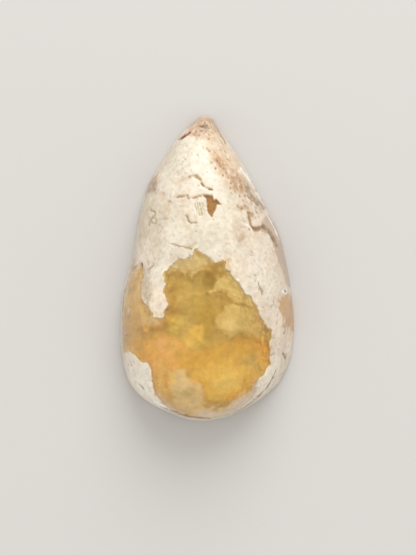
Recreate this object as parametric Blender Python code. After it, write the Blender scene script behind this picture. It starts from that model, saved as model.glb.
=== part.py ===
"""A cantera opal cabochon: honey opal in cream rhyolite, cut and polished as one pear-shaped stone.

The stone lies on its flat sawn back, with its point towards +Y and its dome towards +Z.
The origin is the middle of the back, at the centre of the stone's length and width.
"""

import math

import bmesh
import bpy
from mathutils import Euler, Matrix, Vector, noise

MM = 0.001
# Places of the mesh nearer than this are joined.
WELD = 0.001 * MM

# The stone's overall size.
LENGTH = 22.0 * MM
HEIGHT = 6.6 * MM

# The pear outline, read down the stone: the distance from the point, then how far the edge
# stands to the left and to the right of the long axis. Point and round end close the outline.
POINT = (0.00, -0.14)
STATIONS = (
    (0.22, -0.69, 0.36),
    (0.70, -1.25, 0.67),
    (1.30, -1.90, 1.06),
    (2.30, -2.60, 1.80),
    (3.60, -3.42, 2.63),
    (5.00, -4.26, 3.38),
    (6.80, -4.82, 4.34),
    (8.60, -5.14, 5.20),
    (10.30, -5.41, 5.63),
    (11.50, -5.78, 5.88),
    (13.00, -6.15, 6.09),
    (14.80, -6.27, 6.26),
    (16.60, -6.24, 6.15),
    (18.00, -6.02, 5.85),
    (19.30, -5.60, 5.15),
    (20.35, -4.68, 4.03),
    (21.20, -3.30, 2.68),
    (21.80, -1.80, 1.22),
)
ROUND_END = (22.00, -0.30)
STEPS_BETWEEN_STATIONS = 4

# The edge: a small bevel at the back, then a wall that leans in up to the girdle line.
BACK_BEVEL = 0.28 * MM
GIRDLE_HEIGHT = 1.40 * MM
GIRDLE_ROUNDING_DOWN = 0.10 * MM
GIRDLE_ROUNDING_OUT = 0.03 * MM
WALL_LEAN = 0.20 * MM
# The wall was ground back further along some stretches, and less at the round end: the
# direction of each stretch's middle in degrees from +X, how wide it spreads in degrees, and
# how much more the wall leans there.
GROUND_BACK = (
    (48.0, 22.0, 0.12 * MM),
    (-44.0, 17.0, 0.40 * MM),
    (-92.0, 20.0, -0.12 * MM),
    (184.0, 24.0, 0.08 * MM),
)

# The dome: a rounded arch across the stone, whose ridge falls as the stone narrows.
ARCH_POWER = 2.15
ARCH_ROOT = 0.56
RIDGE_FALL = 0.80
DOME_RINGS = 15
RING_CROWDING = 1.5
# The dome's rings close in on a spine along the middle. It stops short of the point and of
# the round end, where the rings fan round its last places.
SPINE_FROM_POINT = 6
SPINE_FROM_END = 15

# Natural hollows and a chip in the polished surface, each cut by a lumpy ellipsoid: its place
# across and along the stone and its size that way, in millimetres, its turn in degrees, and
# how many millimetres deep it reaches.
HOLLOWS = {
    "vug": ((0.42, 4.55), (1.15, 1.65), 25.0, 0.42),
    "hook": ((0.14, 5.90), (0.36, 0.80), 65.0, 0.24),
    "left_crack": ((-4.05, 3.85), (0.42, 1.60), -12.0, 0.26),
    "right_slot": ((3.15, 2.90), (0.50, 1.10), 28.0, 0.26),
    "edge_pit": ((5.55, -6.15), (0.55, 0.80), 0.0, 0.30),
    "upper_pit": ((1.35, 8.40), (0.30, 0.30), 0.0, 0.14),
    "side_pit": ((3.90, -1.20), (0.34, 0.90), 18.0, 0.18),
    "ledge": ((-1.05, 3.65), (0.44, 1.20), 40.0, 0.16),
    "point_chip": ((-1.66, 9.62), (0.42, 1.25), -54.0, 0.24),
}
CUTTER_FACES = 2
CUTTER_LUMPS = 0.22
LUMPS_ACROSS = 1.3
# Each cutter's lumps are read this far from the last one's, so that no two are alike.
LUMP_STRIDE = 7.1
SLOPE_STEP = 0.05 * MM
SMOOTH_UP_TO = 40.0

# Where honey opal shows in the cream rhyolite, as outlines seen from above, in millimetres.
OPAL_WINDOWS = (
    (
        (-0.7, 1.6), (-0.3, 1.1), (0.2, 0.8), (0.5, 0.5), (1.0, 0.7), (1.4, 0.1),
        (1.9, -0.4), (2.5, -1.3), (2.9, -2.0), (3.3, -2.1), (3.7, -3.0), (4.1, -3.9),
        (4.5, -4.4), (4.6, -5.3), (4.6, -6.1), (4.7, -6.9), (4.2, -7.6), (3.7, -8.3),
        (3.2, -9.0), (1.8, -9.9), (-0.1, -10.4), (-1.7, -10.4), (-3.7, -9.5), (-3.9, -8.6),
        (-3.9, -7.5), (-4.4, -6.7), (-5.4, -5.7), (-6.4, -6.0), (-6.6, -3.0), (-5.9, -0.6),
        (-4.8, 0.3), (-4.7, -1.7), (-4.0, -3.2), (-3.2, -3.6), (-2.8, -2.7), (-3.1, -1.7),
        (-3.1, -0.3), (-2.5, 0.4), (-1.5, 1.2),
    ),
    (
        (-0.1, 5.3), (0.5, 5.2), (1.0, 4.6), (0.6, 4.4), (0.4, 3.7), (0.0, 4.3),
    ),
    (
        (4.8, -2.3), (5.7, -1.8), (6.4, -2.2), (6.4, -4.4), (5.7, -4.3), (5.3, -3.0),
    ),
    (
        (3.2, 3.6), (3.6, 2.8), (4.3, 2.9), (4.9, 2.0), (5.6, -1.2), (6.1, -1.6),
        (5.6, 2.2), (4.9, 3.0), (4.2, 3.2),
    ),
)

RHYOLITE_COLOUR = (0.80, 0.72, 0.60, 1.0)
OPAL_COLOUR = (0.72, 0.45, 0.11, 1.0)
RHYOLITE_ROUGHNESS = 0.32
OPAL_ROUGHNESS = 0.06
OPAL_IOR = 1.45


def clear_scene():
    for old in list(bpy.data.objects):
        bpy.data.objects.remove(old)


def stone_material(name, colour, roughness, ior=1.5):
    material = bpy.data.materials.new(name)
    material.use_nodes = True
    shader = material.node_tree.nodes["Principled BSDF"]
    shader.inputs["Base Color"].default_value = colour
    shader.inputs["Roughness"].default_value = roughness
    shader.inputs["Metallic"].default_value = 0.0
    shader.inputs["IOR"].default_value = ior
    return material


def curve_through(points, steps):
    """A smooth closed loop through the points, as a Catmull-Rom curve."""
    loop = []
    count = len(points)
    for i in range(count):
        before, start, end, after = (points[(i + k) % count] for k in (-1, 0, 1, 2))
        for step in range(steps):
            t = step / steps
            loop.append(
                0.5
                * (
                    2 * start
                    + (end - before) * t
                    + (2 * before - 5 * start + 4 * end - after) * t**2
                    + (3 * start - before - 3 * end + after) * t**3
                )
            )
    return loop


def stone_outline():
    """The stone's widest outline seen from above, counterclockwise and centred."""
    half = LENGTH / 2 / MM
    left = [Vector((x, half - down)) for down, x, _ in STATIONS]
    right = [Vector((x, half - down)) for down, _, x in reversed(STATIONS)]
    point = [Vector((POINT[1], half - POINT[0]))]
    end = [Vector((ROUND_END[1], half - ROUND_END[0]))]
    loop = curve_through(point + left + end + right, STEPS_BETWEEN_STATIONS)
    across = [p.x for p in loop]
    along = [p.y for p in loop]
    middle = Vector(((max(across) + min(across)) / 2, (max(along) + min(along)) / 2))
    return [(p - middle) * MM for p in loop]


def inward_normals(outline):
    normals = []
    for i, _ in enumerate(outline):
        along = outline[(i + 1) % len(outline)] - outline[i - 1]
        normals.append(Vector((-along.y, along.x)).normalized())
    return normals


def wall_lean(direction):
    """How far in the girdle line stands from the widest outline, by its direction in degrees."""
    lean = WALL_LEAN
    for middle, spread, extra in GROUND_BACK:
        away = (direction - middle + 180) % 360 - 180
        lean += extra * math.exp(-((away / spread) ** 2))
    return lean


def girdle_outline(outline):
    ring = []
    for point, inward in zip(outline, inward_normals(outline)):
        direction = math.degrees(math.atan2(point.y, point.x))
        ring.append(point + inward * wall_lean(direction))
    return ring


def spine_of(girdle):
    """For each girdle place, the place on the stone's middle line that faces it."""
    halfway = len(girdle) // 2
    spine = []
    for i, _ in enumerate(girdle):
        down = min(i, len(girdle) - i)
        down = min(max(down, SPINE_FROM_POINT), halfway - SPINE_FROM_END)
        spine.append((girdle[down] + girdle[-down]) / 2)
    return spine


class Dome:
    """The height of the polished dome above any place inside the girdle line."""

    def __init__(self, girdle):
        self.girdle = girdle
        self.widest = max(right - left for left, right in (self.edges(p.y) for p in girdle))

    def edges(self, y):
        """The left and right edge of the girdle line where it crosses this line."""
        crossings = []
        for i, point in enumerate(self.girdle):
            before = self.girdle[i - 1]
            if (before.y <= y) != (point.y <= y):
                share = (y - before.y) / (point.y - before.y)
                crossings.append(before.x + share * (point.x - before.x))
        return (min(crossings), max(crossings)) if crossings else (0.0, 0.0)

    def height(self, x, y):
        left, right = self.edges(y)
        width = right - left
        if width <= 0:
            return GIRDLE_HEIGHT
        across = min(abs(2 * (x - left) / width - 1), 1.0)
        arch = (1 - across**ARCH_POWER) ** ARCH_ROOT
        ridge = (width / self.widest) ** RIDGE_FALL
        return GIRDLE_HEIGHT + (HEIGHT - GIRDLE_HEIGHT) * ridge * arch


def ring_of(mesh, outline, height):
    return [mesh.verts.new((p.x, p.y, height)) for p in outline]


def bridge(mesh, lower, upper):
    for i, _ in enumerate(lower):
        mesh.faces.new((lower[i - 1], lower[i], upper[i], upper[i - 1]))


def stone_mesh():
    outline = stone_outline()
    inward = inward_normals(outline)
    girdle = girdle_outline(outline)
    dome = Dome(girdle)
    mesh = bmesh.new()

    back = ring_of(mesh, [p + n * BACK_BEVEL for p, n in zip(outline, inward)], 0.0)
    widest = ring_of(mesh, outline, BACK_BEVEL)
    wall_top = ring_of(
        mesh,
        [g - n * GIRDLE_ROUNDING_OUT for g, n in zip(girdle, inward)],
        GIRDLE_HEIGHT - GIRDLE_ROUNDING_DOWN,
    )
    mesh.faces.new(list(reversed(back)))
    bridge(mesh, back, widest)
    bridge(mesh, widest, wall_top)

    spine = spine_of(girdle)
    ring = wall_top
    for step in range(DOME_RINGS + 1):
        share = (step / DOME_RINGS) ** RING_CROWDING
        places = [g.lerp(middle, share) for g, middle in zip(girdle, spine)]
        upper = [mesh.verts.new((p.x, p.y, dome.height(p.x, p.y))) for p in places]
        bridge(mesh, ring, upper)
        ring = upper
    bmesh.ops.remove_doubles(mesh, verts=mesh.verts, dist=WELD)

    bmesh.ops.recalc_face_normals(mesh, faces=mesh.faces)
    return mesh, dome


def add_object(name, mesh, materials=()):
    data = bpy.data.meshes.new(name)
    mesh.to_mesh(data)
    mesh.free()
    for material in materials:
        data.materials.append(material)
    thing = bpy.data.objects.new(name, data)
    bpy.context.scene.collection.objects.link(thing)
    return thing


def hide_as_cutter(cutter):
    cutter.hide_render = True
    cutter.display_type = "WIRE"


def surface_slope(dome, x, y):
    """The direction that points straight out of the dome at a place."""
    rise_x = dome.height(x + SLOPE_STEP, y) - dome.height(x - SLOPE_STEP, y)
    rise_y = dome.height(x, y + SLOPE_STEP) - dome.height(x, y - SLOPE_STEP)
    return Vector((-rise_x, -rise_y, 2 * SLOPE_STEP)).normalized()


def hollow_cutter(name, dome, place, size, turn, depth, number):
    """A lumpy ellipsoid that reaches the given depth under the polished surface."""
    x, y = place[0] * MM, place[1] * MM
    mesh = bmesh.new()
    bmesh.ops.create_icosphere(mesh, subdivisions=CUTTER_FACES, radius=1.0)
    for vertex in mesh.verts:
        place_in_noise = vertex.co * LUMPS_ACROSS + Vector((number * LUMP_STRIDE, 0.0, 0.0))
        vertex.co *= 1 + CUTTER_LUMPS * noise.noise(place_in_noise)
    # The ellipsoid is twice as tall as the hollow is deep, so its widest ring is at the surface.
    scale = Matrix.Diagonal((size[0] * MM / 2, size[1] * MM / 2, depth * MM, 1.0))
    out = surface_slope(dome, x, y)
    lean = Vector((0, 0, 1)).rotation_difference(out).to_matrix().to_4x4()
    turned = Euler((0, 0, math.radians(turn))).to_matrix().to_4x4()
    top = Matrix.Translation((x, y, dome.height(x, y)))
    mesh.transform(top @ lean @ turned @ scale)
    cutter = add_object(name + "_cutter", mesh)
    hide_as_cutter(cutter)
    return cutter


def cut(stone, cutter):
    modifier = stone.modifiers.new(cutter.name, "BOOLEAN")
    modifier.operation = "DIFFERENCE"
    modifier.solver = "EXACT"
    modifier.object = cutter


def inside(outline, x, y):
    """True where a place seen from above lies inside a closed outline."""
    crossed = False
    for i, (end_x, end_y) in enumerate(outline):
        start_x, start_y = outline[i - 1]
        if (start_y > y) != (end_y > y):
            share = (y - start_y) / (end_y - start_y)
            if x < start_x + share * (end_x - start_x):
                crossed = not crossed
    return crossed


def colour_windows(stone):
    """Gives the opal's material to the faces of the dome and wall that lie in its windows."""
    for face in stone.data.polygons:
        middle = face.center / MM
        seen_from_above = face.normal.z > 0
        if seen_from_above and any(inside(w, middle.x, middle.y) for w in OPAL_WINDOWS):
            face.material_index = 1


def main():
    clear_scene()
    rhyolite = stone_material("polished_rhyolite", RHYOLITE_COLOUR, RHYOLITE_ROUGHNESS)
    opal = stone_material("honey_opal", OPAL_COLOUR, OPAL_ROUGHNESS, OPAL_IOR)
    mesh, dome = stone_mesh()
    stone = add_object("cabochon", mesh, (rhyolite, opal))
    colour_windows(stone)
    for number, (name, hollow) in enumerate(HOLLOWS.items()):
        cut(stone, hollow_cutter(name, dome, *hollow, number))
    stone.data.shade_smooth()
    stone.data.set_sharp_from_angle(angle=math.radians(SMOOTH_UP_TO))


main()
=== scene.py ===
# Cantera opal cabochon: cream rhyolite with windows of honey opal, cut and polished as one pear-shaped
# stone. It lies on its sawn back, point towards +Y, dome towards +Z. Sizes below are in millimetres.
import math
import random

import bpy
import numpy as np
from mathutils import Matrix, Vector, noise


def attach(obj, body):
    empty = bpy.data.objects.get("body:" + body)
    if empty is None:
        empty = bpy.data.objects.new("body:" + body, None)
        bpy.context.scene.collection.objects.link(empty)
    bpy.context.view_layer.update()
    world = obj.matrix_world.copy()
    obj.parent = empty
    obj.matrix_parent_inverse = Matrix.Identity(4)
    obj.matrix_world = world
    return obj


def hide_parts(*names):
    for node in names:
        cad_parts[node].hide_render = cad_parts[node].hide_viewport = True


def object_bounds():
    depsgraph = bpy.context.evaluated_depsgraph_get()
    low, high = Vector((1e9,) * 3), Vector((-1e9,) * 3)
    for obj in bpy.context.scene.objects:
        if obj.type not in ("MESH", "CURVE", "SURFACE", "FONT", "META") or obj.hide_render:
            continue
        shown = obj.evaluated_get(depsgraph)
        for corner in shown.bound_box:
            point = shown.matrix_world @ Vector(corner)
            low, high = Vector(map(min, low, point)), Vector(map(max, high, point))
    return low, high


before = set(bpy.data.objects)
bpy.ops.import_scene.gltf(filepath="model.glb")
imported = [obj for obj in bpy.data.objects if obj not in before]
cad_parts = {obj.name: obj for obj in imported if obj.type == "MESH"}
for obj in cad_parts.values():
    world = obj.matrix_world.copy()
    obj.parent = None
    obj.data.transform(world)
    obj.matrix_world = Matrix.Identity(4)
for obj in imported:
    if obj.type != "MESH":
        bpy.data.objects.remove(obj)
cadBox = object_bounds()
bpy.ops.object.select_all(action="DESELECT")
print("frame loaded")

mm = 0.001
farOff = 1e9
tiny = 1e-9  # keeps a division by nothing away
noise.seed_set(3)  # without a seed, every run would bend the drawn edges another way
lumpStride = Vector((13.7, 5.3, 9.1))  # each seed reads its noise this far from the last one's
warpStride = Vector((7.3, 2.9, 11.9))


def linear(hexColour):  # sRGB hex to linear colour
    parts = [int(hexColour[i:i + 2], 16) / 255 for i in (1, 3, 5)]
    return tuple(c / 12.92 if c <= 0.04045 else ((c + 0.055) / 1.055) ** 2.4 for c in parts) + (1.0,)


def ramp(value, low, high):  # 0 below low, 1 above high, smooth between
    t = np.clip((value - low) / (high - low), 0, 1)
    return t * t * (3 - 2 * t)


def blend(first, second, share):  # numbers, or colours given as rows of four
    if np.ndim(first) or np.ndim(second):
        share = share.reshape((-1,) + (1,) * (max(np.ndim(first), np.ndim(second)) - 1))
    return first + (second - first) * share


def paint(hexColour, count):  # the same linear colour in every row
    return np.tile(linear(hexColour), (count, 1))


def cloudNoise(places, grain, seed, octaves):  # about -1 to 1, with lumps of the grain's size
    shift = lumpStride * seed
    return np.array([noise.fractal(Vector(p) / grain + shift, 1.0, 2.0, octaves) for p in places])


def warped(places, moves, seed):  # places pushed sideways by noise, so that drawn edges look natural
    shifted = places.copy()
    for number, (grain, reach) in enumerate(moves):
        shift = warpStride * (seed + number)
        push = np.array([noise.noise_vector(Vector(p) / grain + shift)[:2] for p in places])
        shifted[:, :2] += push * reach
    return shifted


# Shapes are drawn as seen from above. Soft is how far a shape's edge fades, inwards and outwards.
def spot(colour, at, size, soft, turn=0, **more):  # an ellipse by its half axes, turned by degrees
    return {"colour": colour, "at": at, "size": size, "soft": soft, "turn": turn, **more}


def patch(colour, soft, outline, **more):
    return {"colour": colour, "soft": soft, "outline": outline, **more}


def line(colour, width, route, **more):  # width is from its middle to its edge
    return {"colour": colour, "width": width, "route": route, **more}


def crack(colour, width, depth, strength, route):
    return line(colour, width, route, depth=depth, strength=strength)


def insideShape(places, shape):  # how far inside, and negative outside
    if "outline" in shape:
        return outlineDepth(places, shape["outline"])
    if "route" in shape:
        return shape["width"] - routeDistance(places, shape["route"])
    angle = math.radians(shape["turn"])
    x, y = places[:, 0] - shape["at"][0], places[:, 1] - shape["at"][1]
    across = x * math.cos(angle) + y * math.sin(angle)
    along = -x * math.sin(angle) + y * math.cos(angle)
    reach = np.hypot(across / shape["size"][0], along / shape["size"][1])
    return (1 - reach) * min(shape["size"])


def outlineDepth(places, outline):
    nearest = np.full(len(places), farOff)
    inside = np.zeros(len(places), bool)
    for (ax, ay), (bx, by) in zip(outline, outline[1:] + outline[:1]):
        nearest = np.minimum(nearest, legDistance(places, (ax, ay), (bx, by)))
        if ay != by:
            crossing = ax + (places[:, 1] - ay) / (by - ay) * (bx - ax)
            between = (ay > places[:, 1]) != (by > places[:, 1])
            inside ^= between & (places[:, 0] < crossing)
    return np.where(inside, nearest, -nearest)


def legDistance(places, start, end):
    leg = np.subtract(end, start)
    fromStart = places[:, :2] - start
    share = np.clip(fromStart @ leg / max(leg @ leg, tiny), 0, 1)
    return np.linalg.norm(fromStart - share[:, None] * leg, axis=1)


def routeDistance(places, route):
    legs = [legDistance(places, a, b) for a, b in zip(route, route[1:])]
    return np.min(legs, axis=0)


def rowsOf(collection, name):  # three numbers for each vertex
    values = np.empty(len(collection) * 3, np.float32)
    collection.foreach_get(name, values)
    return values.reshape(-1, 3).astype(float)


def moveVertices(mesh, places):
    mesh.vertices.foreach_set("co", (places * mm).astype(np.float32).ravel())
    mesh.update()


def fixNormals():  # in edit mode: all faces look outwards
    bpy.ops.mesh.select_all(action="SELECT")
    bpy.ops.mesh.normals_make_consistent(inside=False)
    bpy.ops.object.mode_set(mode="OBJECT")


def coat(piece, material):
    piece.data.materials.clear()
    piece.data.materials.append(material)
    bpy.ops.object.shade_smooth()


# The cut stone. The outline is read down it: distance from the point, left edge, right edge.
cut = {
    "pointX": -0.14,
    "roundEndX": -0.30,
    "stations": [
        (0.22, -0.69, 0.36), (0.70, -1.25, 0.67), (1.30, -1.90, 1.06), (2.30, -2.60, 1.80),
        (3.60, -3.42, 2.63), (5.00, -4.26, 3.38), (6.80, -4.82, 4.34), (8.60, -5.14, 5.20),
        (10.30, -5.41, 5.63), (11.50, -5.78, 5.88), (13.00, -6.15, 6.09), (14.80, -6.27, 6.26),
        (16.60, -6.24, 6.15), (18.00, -6.02, 5.85), (19.30, -5.60, 5.15), (20.35, -4.68, 4.03),
        (21.20, -3.30, 2.68), (21.80, -1.80, 1.22),
    ],
    "stepsBetweenStations": 16,
    "backBevel": 0.28,
    "bevelPower": 1.2,
    "girdleHeight": 1.40,
    "girdleRoundingDown": 0.10,
    "girdleRoundingOut": 0.03,
    "girdleMiddle": 0.45,  # the rounding's middle row: how near it is to the wall's top
    "wallLean": 0.20,
    # where the wall leans more or less: direction in degrees from +X, spread, more lean
    "groundBack": [(48, 22, 0.12), (-44, 17, 0.40), (-92, 20, -0.12), (184, 24, 0.08)],
    "archPower": 2.15,
    "archRoot": 0.56,
    "ridgeFall": 0.80,
    # shares of the way down the outline where the middle line starts and stops
    "spineFromPoint": 0.035,
    "spineFromEnd": 0.24,
    # mesh steps round the stone, rows up each stretch of its profile, and how rows crowd
    "columns": 660,
    "backRows": 7,
    "backCrowding": 1.6,
    "bevelRows": 3,
    "wallRows": 11,
    "domeRows": 102,
    "domeSamples": 500,
    "domeCrowding": 2,
}
stoneLength = (cadBox[1].y - cadBox[0].y) / mm
stoneHeight = (cadBox[1].z - cadBox[0].z) / mm

# The photo is taken from straight above. Its sizes are pixels, the camera's height is millimetres.
photo = {
    "width": 416,
    "height": 555,
    "stoneTop": 116,
    "stoneBottom": 420,
    "stoneLeft": 120.8,
    "stoneRight": 293.3,
    "cameraHeight": 130.0,
}
pixel = stoneLength / (photo["stoneBottom"] - photo["stoneTop"])
cameraX = (photo["width"] - photo["stoneLeft"] - photo["stoneRight"]) / 2 * pixel
cameraY = (photo["stoneTop"] + photo["stoneBottom"] - photo["height"]) / 2 * pixel


def shownPlaces(places):  # where the photo shows them: high parts look farther from its middle
    growth = (photo["cameraHeight"] / (photo["cameraHeight"] - places[:, 2]))[:, None]
    shown = places.copy()
    shown[:, :2] = (cameraX, cameraY) + (places[:, :2] - (cameraX, cameraY)) * growth
    return shown


def smoothLoop(points, steps):  # a closed Catmull-Rom curve
    points = np.array(points, float)
    before, after, later = np.roll(points, 1, 0), np.roll(points, -1, 0), np.roll(points, -2, 0)
    t = (np.arange(steps) / steps)[None, :, None]
    p0, p1, p2, p3 = (p[:, None, :] for p in (before, points, after, later))
    bend = 2 * p0 - 5 * p1 + 4 * p2 - p3
    twist = 3 * p1 - p0 - 3 * p2 + p3
    curve = 2 * p1 + (p2 - p0) * t + bend * t**2 + twist * t**3
    return (curve / 2).reshape(-1, 2)


def evenSteps(route, count):  # the same line in equal steps
    lengths = np.concatenate([[0], np.cumsum(np.linalg.norm(np.diff(route, axis=0), axis=1))])
    wanted = np.linspace(0, lengths[-1], count)
    return np.stack([np.interp(wanted, lengths, route[:, i]) for i in (0, 1)], axis=1)


def stoneOutline():  # the widest outline, counterclockwise from the point, left side first
    top = stoneLength / 2
    left = [(x, top - down) for down, x, _ in cut["stations"]]
    right = [(x, top - down) for down, _, x in reversed(cut["stations"])]
    corners = [(cut["pointX"], top)] + left + [(cut["roundEndX"], -top)] + right
    loop = smoothLoop(corners, cut["stepsBetweenStations"])
    loop -= (loop.max(axis=0) + loop.min(axis=0)) / 2
    half = len(loop) // 2
    steps = cut["columns"] // 2 + 1
    leftSide = evenSteps(loop[:half + 1], steps)
    rightSide = evenSteps(np.vstack([loop[half:], loop[:1]]), steps)
    return np.vstack([leftSide[:-1], rightSide[:-1]])


def inwardNormals(outline):
    along = np.roll(outline, -1, 0) - np.roll(outline, 1, 0)
    inward = np.stack([-along[:, 1], along[:, 0]], axis=1)
    return inward / np.linalg.norm(inward, axis=1)[:, None]


def turnFrom(places, middle):  # degrees between each place's direction and a given one
    direction = np.degrees(np.arctan2(places[:, 1], places[:, 0]))
    return (direction - middle + 180) % 360 - 180


def girdleOutline(outline, inward):
    lean = np.full(len(outline), cut["wallLean"])
    for middle, spread, extra in cut["groundBack"]:
        lean += extra * np.exp(-((turnFrom(outline, middle) / spread) ** 2))
    return outline + inward * lean[:, None]


def spineOf(girdle):  # the middle line's place that faces each girdle place
    count = len(girdle)
    step = np.arange(count)
    down = np.minimum(step, count - step)
    first = round(cut["spineFromPoint"] * count / 2)
    last = round((1 - cut["spineFromEnd"]) * count / 2)
    down = np.clip(down, first, last)
    return (girdle[down] + girdle[-down]) / 2


def domeHeight(x, y, girdle):
    half = len(girdle) // 2
    left, right = girdle[half::-1], np.vstack([girdle[half:], girdle[:1]])
    leftEdge = np.interp(y, left[:, 1], left[:, 0])
    width = np.maximum(np.interp(y, right[:, 1], right[:, 0]) - leftEdge, tiny)
    widest = (right[:, 0] - np.interp(right[:, 1], left[:, 1], left[:, 0])).max()
    across = np.clip(np.abs(2 * (x - leftEdge) / width - 1), 0, 1)
    arch = (1 - across ** cut["archPower"]) ** cut["archRoot"]
    ridge = (width / widest) ** cut["ridgeFall"]
    return cut["girdleHeight"] + (stoneHeight - cut["girdleHeight"]) * ridge * arch


def domeRows(girdle, spine):  # rows of equal steps from the girdle to the middle line
    shares = np.linspace(0, 1, cut["domeSamples"]) ** cut["domeCrowding"]
    plan = girdle[None] + (spine - girdle)[None] * shares[:, None, None]
    heights = domeHeight(plan[..., 0], plan[..., 1], girdle)
    fine = np.concatenate([plan, heights[..., None]], axis=2)
    steps = np.linalg.norm(np.diff(fine, axis=0), axis=2)
    lengths = np.vstack([np.zeros(len(girdle)), np.cumsum(steps, axis=0)])
    rows = np.empty((cut["domeRows"], len(girdle), 3))
    for column in range(len(girdle)):
        wanted = np.linspace(0, lengths[-1, column], cut["domeRows"])
        share = np.interp(wanted, lengths[:, column], shares)
        rows[:, column, :2] = girdle[column] + (spine[column] - girdle[column]) * share[:, None]
    rows[..., 2] = domeHeight(rows[..., 0], rows[..., 1], girdle)
    return rows


def stoneRows():  # rows of places from the middle of the back, round the edge and up over the dome
    outline = stoneOutline()
    inward = inwardNormals(outline)
    girdle = girdleOutline(outline, inward)
    spine = spineOf(girdle)
    bevel, power, girdleZ = cut["backBevel"], cut["bevelPower"], cut["girdleHeight"]
    backEdge = outline + inward * bevel
    wallTop = girdle - inward * cut["girdleRoundingOut"]
    rows = []
    for share in np.linspace(1, 0, cut["backRows"]) ** cut["backCrowding"]:
        rows.append((backEdge + (spine - backEdge) * share, 0.0))
    for turn in np.linspace(0, math.pi / 2, cut["bevelRows"] + 1)[1:]:
        plan = outline + inward * bevel * (1 - math.sin(turn)) ** power
        rows.append((plan, bevel * (1 - math.cos(turn)) ** power))
    for share in np.linspace(0, 1, cut["wallRows"])[1:]:
        wallZ = bevel + (girdleZ - cut["girdleRoundingDown"] - bevel) * share
        rows.append((outline + (wallTop - outline) * share, wallZ))
    middle = cut["girdleMiddle"]
    rows.append((wallTop * middle + girdle * (1 - middle), girdleZ - cut["girdleRoundingDown"] * middle))
    flat = np.array([np.column_stack([plan, np.full(len(plan), z)]) for plan, z in rows])
    return np.concatenate([flat, domeRows(girdle, spine)])


def wrapStone(rows):  # a flat sheet is wrapped round the stone, and its seams are closed
    weld = 0.001 * mm
    sliver = 0.0005 * mm
    count, around = rows.shape[:2]
    bpy.ops.mesh.primitive_grid_add(x_subdivisions=around, y_subdivisions=count - 1, size=2)
    sheet = bpy.context.object
    flat = rowsOf(sheet.data.vertices, "co")
    column = np.rint((flat[:, 0] + 1) / 2 * around).astype(int) % around
    row = np.rint((flat[:, 1] + 1) / 2 * (count - 1)).astype(int)
    moveVertices(sheet.data, rows[row, column])
    bpy.ops.object.mode_set(mode="EDIT")
    bpy.ops.mesh.select_all(action="SELECT")
    bpy.ops.mesh.remove_doubles(threshold=weld)
    bpy.ops.mesh.dissolve_degenerate(threshold=sliver)
    fixNormals()
    return sheet


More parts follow.
